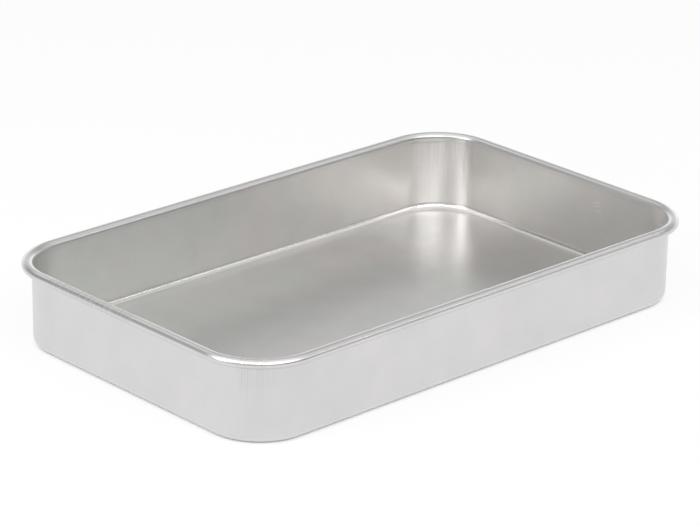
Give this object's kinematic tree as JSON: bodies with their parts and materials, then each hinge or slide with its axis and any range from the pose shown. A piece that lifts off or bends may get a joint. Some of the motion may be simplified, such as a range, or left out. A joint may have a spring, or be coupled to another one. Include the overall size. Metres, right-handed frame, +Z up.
{
  "type": "aluminium baking tray",
  "caption": "Open rectangular baking tray drawn from one aluminium sheet, with rounded corners, upright walls, a small foot radius and a rolled rim.",
  "frame": {"origin": "centre of the floor's underside", "axes": "+X along the length, +Y across the width, +Z up through the open top"},
  "size_m": [0.4, 0.2514, 0.057],
  "materials": {
    "aluminium": "satin"
  },
  "bodies": {
    "root": {"tray": "aluminium"}
  },
  "joints": []
}
